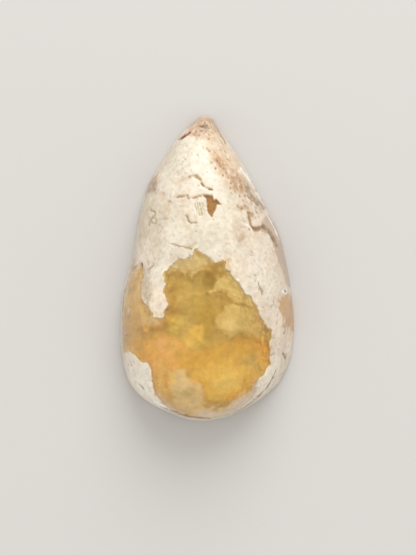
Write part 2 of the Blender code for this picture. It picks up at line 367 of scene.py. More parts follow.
# The opal. The window is an outline on the polished face. The clouds are lumps and tints on the
# floor of the hollow, each with the depth at which it lies, if it isn't the floor's own.
opalSpec = {
    "ior": 1.43,  # fire opal, 1.42 to 1.46
    "roughness": 0.04,
    "absorptionColour": "#FEE752",
    "absorptionDensity": 600.0,
    "lightPath": 2.2,  # the light's way down to the floor and back up, in depths
    "window": [
        (-0.75, 1.47), (-0.33, 1.01), (0.08, 0.87), (0.27, 0.55), (0.55, 0.36), (1.01, 0.5),
        (1.33, 0.46), (1.28, -0.1), (1.61, -0.28), (1.84, -0.65), (2.21, -0.93), (2.48, -1.39),
        (2.76, -1.85), (3.13, -1.99), (3.32, -2.4), (3.59, -2.77), (3.73, -3.14), (3.96, -3.6),
        (4.19, -4.16), (4.52, -4.34), (4.65, -4.8), (4.56, -5.36), (4.56, -6.1), (4.52, -6.56),
        (4.7, -6.93), (4.33, -7.2), (4.15, -7.62), (3.78, -7.94), (3.55, -8.5), (3.6, -8.95),
        (3.35, -9.35), (2.55, -10.05), (1.6, -10.55), (0.9, -10.86), (0.21, -10.97), (-0.87, -10.9),
        (-1.78, -10.68), (-2.32, -10.42), (-3.1, -9.9), (-3.72, -9.12), (-3.89, -8.68), (-3.98, -8.22),
        (-3.98, -7.48), (-4.25, -6.84), (-4.81, -6.74), (-5.27, -6.28), (-5.64, -5.91), (-7.0, -6.6),
        (-7.0, -1.6), (-6.1, -1.2), (-5.75, -0.55), (-5.35, -0.4), (-5.0, -0.05), (-4.8, 0.1),
        (-4.62, -0.25), (-4.69, -0.91), (-4.78, -2.08), (-4.53, -2.6), (-4.33, -2.84), (-4.0, -3.32),
        (-4.0, -3.68), (-3.6, -3.62), (-3.17, -3.6), (-3.12, -3.16), (-2.76, -2.68), (-2.92, -2.2),
        (-3.12, -1.72), (-2.97, -1.16), (-3.2, -0.27), (-2.86, -0.22), (-2.5, 0.27), (-2.13, 0.64),
        (-1.48, 0.64), (-1.12, 0.83), (-0.98, 1.2),
    ],
    "edgeShift": 0.03,
    "edgeWarp": [(0.50, 0.10), (0.16, 0.10)],  # grain and reach of the ragged edge
    "edgeStep": 0.05,
    "edgeStepReach": 0.14,
    "slopeReach": 0.80,
    # how much paler the steep floor is beside the rock, where less light falls on it
    "edgeLift": 0.55,
    "edgeLiftReach": 0.25,
    "rimStain": (-0.30, 0.55),  # the shallow rim is stained less than the middle, up to here
    "palest": 0.97,
    "tuck": 0.035,  # how far the clear body slips under the rock beyond a window's edge
    "tuckFade": 0.10,
    "tuckReach": 0.20,
    "overlap": 0.06,  # how far its underside is sunk in the rock, so that no gap shows
    "lowest": 0.34,  # no part of the hollow's floor lies lower in the stone
    "lowestMargin": 0.12,
    "wallMargin": 0.02,  # the window stops this far below the girdle line
    "flattestRay": 0.2,
    "floor": "#D3CDB9",
    "depth": 1.35,
    "lumps": (1.1, 5, 3),  # grain, seed and octaves of their noise
    "lumpHeight": 0.14,
    "lumpSpread": (0.12, 0.30),  # how much wider a lump fades than its tint, small and large
    "warpSeed": 8,
    "cloudWarp": [(1.10, 0.45), (0.42, 0.26), (0.16, 0.12)],  # of the colours' edges
    "lumpWarp": [(1.10, 0.45), (0.42, 0.22)],  # of the lumps' edges
    "smallWarp": [(0.30, 0.06)],  # of lines and of spots under this size
    "smallUpTo": 0.5,
    "mottle": [(0.9, 0.09), (0.34, 0.05)],  # grain and strength of light and dark
    "mottleSeed": 51,
    "clouds": [
        spot("#E9CFB0", (-5.45, -2.6), (1.15, 3.4), 0.4, depth=0.6),
        spot("#F3DEC4", (-5.35, -1.9), (0.8, 1.3), 0.35, depth=0.6),
        spot("#E4CBA8", (-5.35, -1.1), (0.6, 0.9), 0.3, depth=0.5),
        spot("#D8BA90", (-4.7, -2.45), (0.2, 0.28), 0.12),
        patch("#F6F6F1", 0.1, [
            (-2.6, 1.8), (0.3, 1.8), (0.1, 0.2), (-0.1, -0.25), (-0.55, -0.32), (-1.09, -0.54),
            (-1.81, -0.32), (-2.7, -0.27),
        ], depth=0.9),
        spot("#FCFCFC", (-0.9, 0.02), (1.45, 0.26), 0.12, turn=4),
        spot("#E6D6B8", (-0.64, 1.15), (0.24, 0.36), 0.15),
        spot("#D2C9AF", (-2.75, -1.6), (0.45, 1.5), 0.3, turn=5),
        spot("#B9B187", (0.09, -0.95), (0.46, 0.58), 0.14, turn=-10, depth=1.45),
        spot("#D6D0B8", (0.85, 0.05), (0.5, 0.4), 0.2, turn=30),
        spot("#CCC49B", (-0.05, -3.9), (0.8, 1.4), 0.4, turn=-10, depth=1.45),
        patch("#F6F6E8", 0.06, [
            (0.4, -1.95), (0.7, -0.9), (1.53, -0.25), (2.3, -0.7), (3.0, -1.6), (3.6, -2.5),
            (3.45, -2.9), (2.89, -2.9), (2.17, -2.53), (1.81, -2.17), (1.08, -1.94),
        ], depth=1.05),
        patch("#E9E3D3", 0.14, [
            (0.72, -3.26), (0.81, -4.07), (1.17, -4.98), (1.81, -5.11), (2.35, -4.7), (2.98, -5.07),
            (3.43, -5.16), (4.3, -4.61), (4.1, -3.4), (3.43, -2.8), (2.62, -2.99), (1.81, -2.75),
            (1.08, -2.8),
        ], depth=1.1),
        spot("#F4F3F0", (1.6, -4.3), (0.7, 0.7), 0.2),
        spot("#E2D0A2", (2.95, -5.8), (2.0, 0.72), 0.3, turn=3, depth=1.5),
        spot("#EFD9A6", (4.1, -6.2), (0.7, 1.1), 0.3, turn=5),
        spot("#EFF0CE", (-2.2, -3.84), (0.8, 0.5), 0.28, turn=10),
        spot("#F3D6B4", (-3.0, -6.2), (2.1, 1.45), 0.5, turn=-15, depth=1.15),
        spot("#EAD6A2", (0.2, -6.6), (2.2, 1.0), 0.5, depth=1.35),
        spot("#F6EEC8", (-0.91, -4.95), (0.8, 0.55), 0.25),
        spot("#F4E6BA", (1.3, -8.2), (2.3, 1.35), 0.3, turn=4, depth=1.35),
        spot("#FCF6DC", (1.4, -8.15), (0.95, 0.6), 0.3, turn=10),
        spot("#FDE6C0", (-3.3, -8.3), (0.85, 1.4), 0.3, turn=8, depth=1.0),
        spot("#E6CDAC", (-2.6, -9.9), (1.5, 0.45), 0.25, turn=-32, depth=0.45),
        patch("#F8ECE2", 0.25, [
            (-2.45, -7.35), (-1.14, -7.4), (-0.8, -8.29), (-0.44, -8.9), (-0.3, -9.6), (0.1, -10.5),
            (-1.0, -10.6), (-1.78, -10.2), (-2.3, -9.7), (-2.7, -8.7), (-2.68, -7.92),
        ], depth=0.75),
        spot("#E4DAC0", (-1.4, -7.75), (0.2, 0.24), 0.1),
        spot("#E0D4BC", (-1.3, -9.05), (0.55, 0.35), 0.2, turn=20),
        patch("#FEEEDA", 0.4, [
            (-0.9, -10.65), (0.0, -10.25), (1.2, -10.1), (2.0, -9.65), (2.7, -9.1), (3.3, -8.6),
            (4.5, -8.3), (4.0, -10.0), (2.6, -11.2), (1.2, -11.8), (-0.3, -11.8), (-1.2, -11.6),
        ], depth=0.16),
        spot("#FEE0DA", (-3.3, -5.45), (0.42, 0.46), 0.1, turn=10),
        spot("#FEDFD4", (-3.2, -6.1), (0.26, 0.42), 0.14, turn=10),
        spot("#FEE2CA", (-2.6, -6.45), (0.26, 0.62), 0.18, turn=10),
        spot("#FCE4CC", (-2.3, -5.6), (0.3, 0.4), 0.18),
        spot("#FEE8C6", (-3.9, -3.95), (0.66, 0.36), 0.18, turn=-10, depth=0.55),
        line("#FEE9C4", 0.2, [(-4.74, -3.05), (-4.55, -3.7), (-4.37, -4.45)], soft=0.05),
        line("#FDF2D8", 0.09, [(-2.75, -7.55), (-2.52, -8.05), (-2.38, -8.4)], soft=0.07),
        line("#FDF2D8", 0.09, [(-3.45, -7.9), (-3.5, -8.5), (-3.4, -9.1)], soft=0.07),
        line("#E6CA9A", 0.16, [(-3.0, -7.6), (-2.95, -8.6)], soft=0.14),
        line("#FEFAF0", 0.08, [(4.12, -4.68), (4.06, -5.05), (3.95, -5.36)], soft=0.04),
        line("#FEF6EC", 0.06, [(4.53, -4.42), (4.42, -4.8)], soft=0.04),
        # painted highlights: two white glints at the left edge
        line("#FEFCF6", 0.05, [(-5.68, -3.02), (-5.7, -3.38)], soft=0.04, depth=0.03),
        line("#FEFCF6", 0.04, [(-5.87, -4.6), (-5.9, -4.78)], soft=0.03, depth=0.03),
        # painted reflection of the girdle at the lower left: a bright line, then a dark line below it
        line("#F8F2E6", 0.05, [(-3.85, -9.62), (-3.1, -9.98), (-2.32, -10.31)], soft=0.04, depth=0.05),
        line("#9C8062", 0.05, [
            (-2.6, -10.28), (-1.78, -10.62), (-0.87, -10.82), (0.21, -10.9),
        ], soft=0.04, depth=0.05),
    ],
}


# The rock. Tints, cracks, the vug and pits lie on the polished rhyolite. Noises are given by
# grain, seed and octaves, and a pair of numbers is where a ramp starts and ends.
rockSpec = {
    "cream": "#CCBFAB",
    "white": "#D5CDBC",
    "tan": "#C4B19A",
    "speckle": "#A88A68",
    "sawnBack": "#C1B4A0",
    # the dark brown of the grime in the pits, also used for the painted shade along the girdle edge
    "grimeAndEdgeShade": "#664D37",
    "patches": (1.6, 22, 5),
    "mottle": (0.5, 23, 3),
    "fine": (0.28, 25, 3),
    "whiteWhere": (-0.1, 0.5),
    "tanWhere": (0.25, 0.9),
    "tanStrength": 0.6,
    "fineWhiteWhere": (0.1, 0.7),
    "fineWhiteStrength": 0.5,
    "speckleWhere": (0.1, 0.8),
    "speckleStrength": 0.32,
    "evenness": 0.5,  # how much of the fine mottle an even tint takes away
    "tintWarp": [(1.2, 0.30), (0.45, 0.30), (0.17, 0.20)],
    "warpSeed": 21,
    "crispUpTo": 0.08,  # tints with harder edges than this are warped less
    "mottleInTint": 0.6,
    "mottleInEvenTint": 0.3,
    "mostTint": 1.3,
    "tints": [
        spot("#C6BAA5", (0.9, 3.2), (2.6, 2.6), 0.8, strength=0.6),
        spot("#C9B7A4", (4.9, 0.5), (2.2, 6.5), 0.7, turn=10, strength=0.55),
        spot("#AF9072", (-0.19, 10.2), (1.25, 0.95), 0.25, strength=0.9),
        spot("#BC9478", (-1.25, 9.95), (0.26, 0.8), 0.15, turn=-50, strength=0.45),
        spot("#7C5F46", (-0.19, 10.17), (0.32, 0.25), 0.08, strength=0.95),
        spot("#C9B193", (1.28, 7.6), (1.0, 2.6), 0.3, turn=27, strength=0.8),
        spot("#AE8862", (0.8, 7.55), (0.34, 0.75), 0.22, turn=30, strength=0.8),
        spot("#A98362", (2.05, 6.25), (0.42, 0.9), 0.24, turn=30, strength=0.8),
        patch("#957B61", 0.1, [
            (2.55, 6.1), (3.15, 6.0), (3.68, 5.15), (4.2, 4.41), (3.98, 3.95), (3.41, 4.45),
            (2.9, 5.15),
        ], strength=1.0),
        spot("#7E6350", (3.6, 4.5), (0.2, 0.3), 0.12, turn=30, strength=0.65),
        spot("#AA8A67", (2.7, 4.4), (0.36, 0.34), 0.15, strength=0.75),
        spot("#A08262", (3.1, 3.65), (0.2, 0.46), 0.1, turn=-20, strength=0.85),
        spot("#7E6044", (3.58, 2.85), (0.36, 0.18), 0.08, strength=0.95),
        spot("#8C6C4C", (3.03, 2.8), (0.09, 0.12), 0.05, strength=0.85),
        spot("#8A6C4E", (3.06, 3.97), (0.12, 0.11), 0.06, strength=0.85),
        spot("#9A7B5C", (3.28, 3.92), (0.09, 0.2), 0.06, strength=0.8),
        spot("#AC8E72", (2.25, 2.75), (0.45, 0.95), 0.22, turn=10, strength=0.95),
        spot("#D6CEBB", (-1.2, 8.2), (1.1, 1.2), 0.35, turn=-25, strength=0.85),
        spot("#CAC2AE", (-2.35, 7.4), (0.65, 0.65), 0.3, turn=-25, strength=0.6),
        spot("#9E7F67", (-4.05, 5.95), (0.28, 0.75), 0.2, turn=-24, strength=0.75),
        spot("#BCA184", (-3.15, 5.3), (0.2, 0.26), 0.12, strength=0.8),
        spot("#8A6A45", (-2.7, 4.75), (0.17, 0.12), 0.06, strength=0.9),
        spot("#BDAA88", (-2.75, 4.15), (0.2, 0.45), 0.15, turn=-8, strength=0.7),
        spot("#C3B094", (-4.3, 2.6), (0.95, 1.9), 0.4, strength=0.5),
        spot("#A98762", (-5.2, 0.1), (0.4, 0.45), 0.22, turn=30, strength=0.55),
        spot("#DCCFBC", (-4.5, 1.2), (0.7, 0.8), 0.3, strength=0.8),
        spot("#BF9D70", (1.48, 0.22), (0.26, 0.36), 0.15, turn=20, strength=0.75),
        spot("#DCD2C0", (-2.3, 2.3), (0.9, 0.8), 0.3, strength=0.7),
        spot("#B3A28A", (-4.42, -1.6), (0.42, 1.5), 0.15, turn=6, strength=0.9),
        spot("#E1D0B8", (-3.55, -2.4), (0.65, 1.2), 0.2, turn=6, strength=0.9),
        spot("#D3CBB5", (-0.5, 4.3), (0.46, 0.52), 0.12, strength=0.9),
        spot("#C4B291", (-1.4, 3.6), (0.4, 0.45), 0.15, turn=30, strength=0.7),
        spot("#DDD8CC", (-0.32, 5.86), (0.2, 0.16), 0.06, strength=0.95),
        spot("#BDA985", (-1.2, 1.6), (0.55, 0.22), 0.15, turn=-8, strength=0.6),
        # painted highlight: a white glint
        spot("#DDD8CC", (-0.75, 1.62), (0.16, 0.16), 0.06, strength=0.95),
        spot("#D2CABB", (4.05, -0.7), (0.85, 1.9), 0.4, turn=20, strength=0.7),
        spot("#A39268", (3.85, -1.4), (0.17, 0.42), 0.1, turn=20, strength=0.65),
        spot("#DCCAB5", (5.3, -4.7), (0.6, 1.8), 0.3, strength=0.8),
        spot("#CFC0AF", (5.2, -6.3), (0.7, 1.1), 0.4, turn=-20, strength=0.55),
        # pale patches on the lower side, painted paler still: partly their own colour, partly painted
        # light against the shade there
        spot("#DFD6C6", (-4.85, -7.6), (1.25, 1.9), 0.3, turn=25, strength=0.95),
        spot("#ECE4D4", (-4.3, -9.1), (0.65, 1.7), 0.3, turn=38, strength=0.95),
        spot("#EADFCB", (4.3, -8.1), (0.55, 1.6), 0.3, turn=-35, strength=0.95),
        spot("#D8CAB3", (2.0, -10.5), (2.2, 0.5), 0.3, turn=15, strength=0.9),
        spot("#B0926A", (3.4, -8.95), (0.4, 0.3), 0.2, turn=30, strength=0.6),
        spot("#CBC1AC", (0.3, 3.2), (2.4, 1.5), 0.6, strength=0.55),
        patch("#AF9A86", 0.06, [
            (3.95, 2.75), (4.55, 2.35), (4.85, 1.48), (5.16, 0.49), (5.58, -0.51), (5.8, -1.3),
            (6.9, -2.0), (6.9, 0.0), (6.2, 1.5), (5.2, 2.9), (4.4, 3.9), (3.9, 3.4),
        ], strength=1.0, even=True),
        patch("#B8946A", 0.12, [
            (4.8, -2.25), (5.2, -2.38), (5.52, -2.1), (5.9, -1.85), (6.9, -1.9), (6.9, -4.6),
            (6.0, -4.55), (5.58, -4.1), (5.36, -3.3), (5.1, -2.62),
        ], strength=1.0, even=True),
        spot("#E6E0D6", (5.64, -1.68), (0.22, 0.22), 0.05, strength=1.0),
        spot("#4E4238", (5.66, -1.7), (0.09, 0.09), 0.03, strength=1.0),
    ],
    "crackWarp": [(0.5, 0.08), (0.16, 0.05)],
    "crackWarpSeed": 27,
    "ragged": (0.30, 24, 2),  # noise along a crack, its strength and its limits
    "raggedness": 0.75,
    "raggedLimits": (0.25, 1.2),
    "crackCore": 0.2,  # the share of a crack's width that is full depth
    "crackFoot": (-0.65, -0.30),  # from the girdle line: cracks fade out on the wall
    "cracks": [
        crack("#BCA284", 0.13, 0.02, 0.65, [
            (-2.3, 6.05), (-1.9, 6.32), (-1.5, 6.52), (-1.13, 6.65), (-0.9, 6.66), (-0.68, 6.56),
            (-0.36, 6.2),
        ]),
        crack("#94744E", 0.15, 0.05, 0.8, [(-1.3, 6.62), (-1.0, 6.7), (-0.72, 6.62), (-0.48, 6.4)]),
        crack("#8A6438", 0.11, 0.06, 1.0, [(-0.42, 6.12), (-0.15, 5.88), (0.05, 5.75), (0.38, 5.68)]),
        crack("#92704A", 0.11, 0.08, 0.85, [(-2.22, 5.12), (-1.49, 5.24), (-1.39, 5.05), (-0.47, 5.2)]),
        crack("#86705A", 0.12, 0.08, 0.75, [(-1.52, 3.8), (-1.3, 3.38), (-1.12, 3.21), (-0.75, 3.3)]),
        crack("#8E7A55", 0.09, 0.05, 0.75, [(-2.59, 1.74), (-1.9, 1.58), (-1.12, 1.36)]),
        crack("#8C745A", 0.1, 0.05, 0.8, [(-3.98, 4.16), (-3.8, 4.0), (-3.74, 3.8)]),
        crack("#94806A", 0.09, 0.05, 0.75, [(-3.9, 3.72), (-4.1, 3.45), (-4.18, 3.0)]),
        crack("#A89478", 0.12, 0.04, 0.65, [(-3.8, 3.62), (-3.66, 3.4), (-3.74, 3.12)]),
        crack("#A08C72", 0.09, 0.04, 0.65, [(-4.02, 3.36), (-3.86, 3.2)]),
        crack("#8E6C4A", 0.15, 0.06, 0.85, [
            (3.02, 4.0), (3.05, 3.7), (3.14, 3.4), (3.22, 3.12), (3.34, 2.93), (3.75, 2.86),
            (4.08, 3.02),
        ]),
        crack("#80603E", 0.24, 0.03, 0.9, [(3.36, 2.88), (3.55, 2.8), (3.8, 2.83)]),
        crack("#806648", 0.19, 0.03, 0.85, [(4.05, 3.05), (4.45, 2.68), (4.78, 2.2), (5.05, 1.6)]),
        crack("#8C6A4C", 0.09, 0.0, 0.9, [(0.29, 10.86), (0.8, 10.05), (1.3, 9.05)]),
        # painted highlight: white glints by the brown crack
        crack("#DDD8CC", 0.1, 0.0, 1.0, [(2.84, 3.17), (3.04, 3.06), (3.16, 2.88), (3.25, 2.6)]),
        # painted highlights: white streaks along the upper right edge
        crack("#ECE8E0", 0.12, 0.0, 1.0, [(2.4, 7.2), (2.8, 6.72), (3.2, 6.1)]),
        crack("#DDD9D0", 0.07, 0.0, 0.9, [(2.28, 7.08), (2.52, 6.78)]),
        crack("#E8E4DC", 0.09, 0.0, 0.95, [
            (3.2, 6.05), (3.78, 5.1), (4.33, 4.0), (4.85, 2.95), (5.25, 2.1),
        ]),
        crack("#8E7E58", 0.11, 0.05, 0.85, [(3.73, -1.11), (3.92, -1.57), (4.0, -1.85)]),
        crack("#6E6354", 0.12, 0.08, 0.9, [(5.5, -6.19), (5.72, -6.56), (5.88, -6.19)]),
        crack("#6E6354", 0.12, 0.08, 0.85, [(5.72, -6.5), (5.74, -6.8)]),
        # the chip near the point: a shallow nick, with its shadow painted in dark red-brown
        crack("#7A3C1C", 0.1, 0.06, 1.0, [(-2.04, 9.3), (-1.62, 9.56), (-1.21, 9.82)]),
        crack("#85735F", 0.06, 0.03, 0.85, [(-4.94, -8.38), (-4.58, -8.83)]),
        crack("#9A8A78", 0.06, 0.03, 0.7, [(-5.62, -6.8), (-5.45, -7.1)]),
        # painted reflection of the girdle at the lower left: a bright line, then a dark line below it
        crack("#F2EEE6", 0.09, 0.0, 1.0, [(-3.85, -9.65), (-3.1, -10.02), (-2.32, -10.37)]),
        crack("#8A6C50", 0.05, 0.0, 0.8, [
            (-3.3, -10.02), (-2.32, -10.42), (-1.78, -10.68), (-0.87, -10.88), (0.21, -10.95),
        ]),
        # painted shade over a slight groove: a dark line along the girdle edge at the lower right,
        # standing for its dark reflection
        crack("#6A513C", 0.07, 0.03, 0.9, [
            (4.99, -7.45), (4.7, -8.03), (4.37, -8.65), (3.9, -9.12), (3.38, -9.55),
        ]),
        crack("#7A6450", 0.05, 0.02, 0.7, [(3.38, -9.58), (2.57, -10.2), (1.9, -10.5), (1.3, -10.7)]),
        # painted shade: a dark line along the left edge, standing for the girdle's dark reflection
        crack("#745A44", 0.08, 0.0, 0.8, [(-6.12, -3.1), (-6.08, -2.2), (-5.9, -1.2), (-5.62, -0.4)]),
        crack("#8A6644", 0.13, 0.05, 0.9, [(-4.76, 0.35), (-4.7, -0.15)]),
        crack("#9A7858", 0.1, 0.05, 0.8, [(-3.9, 0.22), (-4.12, -0.05), (-4.38, -0.2)]),
        crack("#8C7060", 0.08, 0.02, 0.8, [(-5.3, 1.0), (-5.36, 0.45)]),
        crack("#9A7858", 0.09, 0.02, 0.8, [(-5.1, 0.2), (-5.35, -0.25)]),
        crack("#AC9668", 0.07, 0.05, 0.75, [(-0.88, 4.6), (-0.7, 3.95)]),
        crack("#AC9668", 0.07, 0.05, 0.75, [(-0.7, 4.68), (-0.53, 3.84)]),
        crack("#A08858", 0.07, 0.05, 0.85, [(-0.52, 4.7), (-0.38, 3.8)]),
        crack("#AC9668", 0.07, 0.05, 0.75, [(-0.34, 4.66), (-0.24, 3.9)]),
    ],
    "vug": {
        "outline": [
            (-0.36, 5.31), (0.42, 5.27), (0.47, 4.97), (0.68, 5.00), (1.09, 4.56), (0.70, 4.63),
            (0.60, 4.20), (0.31, 3.63), (0.06, 4.10), (0.00, 4.50), (-0.05, 5.02),
        ],
        "warpSeed": 31,
        "depth": 0.18,
        "wall": (-0.02, 0.10),
        "colour": "#946C3B",
        "soft": 0.04,
    },
    "pitZones": [
        {"at": (-0.2, 10.1), "size": (1.0, 0.8), "count": 30, "radius": (0.05, 0.11), "stain": 0.75},
        {"at": (1.3, 7.5), "size": (0.9, 2.6), "turn": 27, "count": 46, "radius": (0.045, 0.11),
         "stain": 0.6},
        {"at": (3.0, 4.8), "size": (0.8, 1.8), "turn": 30, "count": 18, "radius": (0.05, 0.12),
         "stain": 0.6},
        {"at": (4.4, -0.3), "size": (1.2, 3.2), "turn": 10, "count": 40, "radius": (0.05, 0.1),
         "stain": 0.5},
        {"at": (5.1, -5.2), "size": (0.6, 1.8), "count": 26, "radius": (0.05, 0.11), "stain": 0.55},
        {"at": (-3.6, 2.5), "size": (1.4, 2.6), "count": 26, "radius": (0.05, 0.09), "stain": 0.45},
        {"at": (-2.0, 7.3), "size": (1.0, 1.2), "count": 16, "radius": (0.05, 0.09), "stain": 0.35},
        {"at": (-0.5, 4.5), "size": (3.2, 5.0), "count": 40, "radius": (0.04, 0.08), "stain": 0.4},
        {"at": (5.67, -1.67), "size": (0.05, 0.05), "count": 2, "radius": (0.12, 0.13), "stain": 0.7},
        {"at": (4.75, -2.77), "size": (0.05, 0.05), "count": 2, "radius": (0.1, 0.11), "stain": 0.7},
        {"at": (1.35, 8.4), "size": (0.05, 0.05), "count": 1, "radius": (0.14, 0.15), "stain": 0.9},
    ],
    "pitSeed": 11,
    "pitFacing": 0.12,  # pits lie where the surface faces up by at least this
    "pitRim": (0.45, 1.15),
    "pitDepth": 0.8,  # depth and rim in radii
    "pitStain": (0.5, 1.0),
    # painted shade: a dark line along the girdle edge on the left, standing for the edge's dark
    # reflection
    "edgeShadeLine": {
        "stretches": [(200, 24, 0.75)],  # direction in degrees, spread and strength
        "fade": (0.7, 1.2),  # in spreads
        "above": (-0.18, -0.08),  # from the girdle line
        "below": (0.05, 0.22),
        "gaps": (0.9, 41, 3),
        "gapsWhere": (-0.5, 0.0),
        "strength": 0.85,
    },
    "windowRim": (-0.05, 0.02),
    "backWhere": (0.5, 0.9),
    "backStrength": 0.6,
    "mattWhere": (0.01, 0.06),  # hollows deeper than this missed the polish
}


def refractedDown(normals):  # the way a look straight down goes on inside the opal
    cosine = np.clip(normals[:, 2], 0, 1)
    eta = 1 / opalSpec["ior"]
    bend = eta * cosine - np.sqrt(1 - eta**2 * (1 - cosine**2))
    ray = normals * bend[:, None]
    ray[:, 2] -= eta
    return ray / np.linalg.norm(ray, axis=1)[:, None]


def windowDepth(places):  # how far inside the window, with a ragged edge
    ragged = warped(places, opalSpec["edgeWarp"], 3)
    return outlineDepth(ragged, opalSpec["window"]) + opalSpec["edgeShift"]


def dimming(depth):  # what the clear opal leaves of the light that goes to this depth and back
    density = opalSpec["absorptionDensity"] * mm
    taken = (1 - np.array(linear(opalSpec["absorptionColour"]))) * density
    return np.exp(-opalSpec["lightPath"] * taken * depth[:, None])


def hollowFloor(places, inWindow):  # depth and colour of the opal's floor under each place
    spec = opalSpec
    count = len(places)
    deep = spec["depth"] + spec["lumpHeight"] * cloudNoise(places, *spec["lumps"])
    seen = paint(spec["floor"], count) * dimming(deep)
    wavy = warped(places, spec["cloudWarp"], spec["warpSeed"])
    lumpy = warped(places, spec["lumpWarp"], spec["warpSeed"])
    nearly = warped(places, spec["smallWarp"], spec["warpSeed"])
    smallSpread, largeSpread = spec["lumpSpread"]
    for cloud in spec["clouds"]:
        soft = cloud["soft"]
        small = "route" in cloud or min(cloud.get("size", (farOff,))) < spec["smallUpTo"]
        own = np.full(count, cloud["depth"]) if "depth" in cloud else deep
        share = ramp(insideShape(nearly if small else wavy, cloud), -soft, soft)
        seen = blend(seen, paint(cloud["colour"], count) * dimming(own), share)
        if "depth" in cloud:
            fade = soft + (smallSpread if small else largeSpread)
            deep = blend(deep, own, ramp(insideShape(nearly if small else lumpy, cloud), -fade, fade))
    shade = sum(strength * cloudNoise(places, grain, spec["mottleSeed"] + grain, 3)
                for grain, strength in spec["mottle"])
    inside = np.maximum(inWindow, 0)
    step = np.minimum(spec["edgeStep"], deep)
    depth = step * ramp(inside, 0, spec["edgeStepReach"])
    depth += (deep - step) * (1 - np.exp(-inside / spec["slopeReach"]))
    missing = (deep - depth) * ramp(inside, *spec["rimStain"])
    stain = np.clip(seen / dimming(deep - missing), 0, spec["palest"])
    light = (1 + shade) * (1 + spec["edgeLift"] * np.exp(-inside / spec["edgeLiftReach"]))
    return depth, stain * np.minimum(light, spec["palest"] / stain[:, :3].max(axis=1))[:, None]


def rockColour(places):  # the polished rhyolite and its tints
    spec = rockSpec
    count = len(places)
    cream, white, tan, speckle = (paint(spec[n], count) for n in ("cream", "white", "tan", "speckle"))
    wavy = warped(places, spec["tintWarp"], spec["warpSeed"])
    nearly = warped(places, spec["crackWarp"], spec["warpSeed"])
    patches = cloudNoise(places, *spec["patches"])
    mottle = cloudNoise(places, *spec["mottle"])
    colour = blend(cream, white, ramp(patches, *spec["whiteWhere"]))
    colour = blend(colour, tan, ramp(mottle - patches, *spec["tanWhere"]) * spec["tanStrength"])
    even = np.zeros(count)
    for tint in spec["tints"]:
        soft = tint["soft"]
        share = ramp(insideShape(wavy if soft > spec["crispUpTo"] else nearly, tint), -soft, soft)
        patchy = spec["mottleInEvenTint" if "even" in tint else "mottleInTint"]
        share = share * tint["strength"] * np.clip(1 + patchy * mottle, 0, spec["mostTint"])
        colour = blend(colour, paint(tint["colour"], count), np.clip(share, 0, 1))
        if "even" in tint:
            even = np.maximum(even, share)
    fine = cloudNoise(places, *spec["fine"]) * (1 - spec["evenness"] * even)
    colour = blend(colour, white, spec["fineWhiteStrength"] * ramp(fine, *spec["fineWhiteWhere"]))
    return blend(colour, speckle, spec["speckleStrength"] * ramp(-fine, *spec["speckleWhere"]))


def addCracks(places, colour):
    spec = rockSpec
    ragged = np.clip(1 + spec["raggedness"] * cloudNoise(places, *spec["ragged"]), *spec["raggedLimits"])
    crooked = warped(places, spec["crackWarp"], spec["crackWarpSeed"])
    fromGirdle = places[:, 2] - cut["girdleHeight"]
    onDome = ramp(fromGirdle, *spec["crackFoot"])
    relief = np.zeros(len(places))
    for each in spec["cracks"]:
        away = routeDistance(crooked, each["route"])
        near = onDome * ragged * (1 - ramp(away, spec["crackCore"] * each["width"], each["width"]))
        relief = np.maximum(relief, near * each["depth"])
        share = np.clip(near, 0, 1) * each["strength"]
        colour = blend(colour, paint(each["colour"], len(places)), share)
    return colour, relief


def addPits(places, normals, colour, relief):
    spec = rockSpec
    rng = random.Random(spec["pitSeed"])
    facing = np.flatnonzero(normals[:, 2] > spec["pitFacing"])
    stain = np.zeros(len(places))
    for zone in spec["pitZones"]:
        angle = math.radians(zone.get("turn", 0))
        for _ in range(zone["count"]):
            reach, way = math.sqrt(rng.random()), rng.uniform(0, 2 * math.pi)
            u, v = reach * math.cos(way) * zone["size"][0], reach * math.sin(way) * zone["size"][1]
            at = (zone["at"][0] + u * math.cos(angle) - v * math.sin(angle),
                  zone["at"][1] + u * math.sin(angle) + v * math.cos(angle))
            nearest = facing[np.argmin(np.sum((places[facing, :2] - at) ** 2, axis=1))]
            radius = rng.uniform(*zone["radius"])
            away = np.linalg.norm(places - places[nearest], axis=1) / radius
            pit = 1 - ramp(away, *spec["pitRim"])
            relief = np.maximum(relief, pit * radius * spec["pitDepth"])
            stain = np.maximum(stain, pit * zone["stain"] * rng.uniform(*spec["pitStain"]))
    return blend(colour, paint(spec["grimeAndEdgeShade"], len(places)), stain), relief


def addVug(places, colour, relief):
    vug = rockSpec["vug"]
    inside = outlineDepth(warped(places, opalSpec["smallWarp"], vug["warpSeed"]), vug["outline"])
    relief = np.maximum(relief, ramp(inside, *vug["wall"]) * vug["depth"])
    share = ramp(inside, -vug["soft"], vug["soft"])
    return blend(colour, paint(vug["colour"], len(places)), share), relief


def girdleLine(places):  # painted shade: a dark line in the edge between wall and dome, standing for the girdle's dark reflection
    grimeAndEdgeShade = rockSpec["edgeShadeLine"]
    fromGirdle = places[:, 2] - cut["girdleHeight"]
    onLine = ramp(fromGirdle, *grimeAndEdgeShade["above"]) * (1 - ramp(fromGirdle, *grimeAndEdgeShade["below"]))
    ragged = ramp(cloudNoise(places, *grimeAndEdgeShade["gaps"]), *grimeAndEdgeShade["gapsWhere"])
    stretch = np.zeros(len(places))
    for middle, spread, strength in grimeAndEdgeShade["stretches"]:
        away = np.abs(turnFrom(places, middle)) / spread
        stretch = np.maximum(stretch, strength * (1 - ramp(away, *grimeAndEdgeShade["fade"])))
    return grimeAndEdgeShade["strength"] * stretch * onLine * ragged


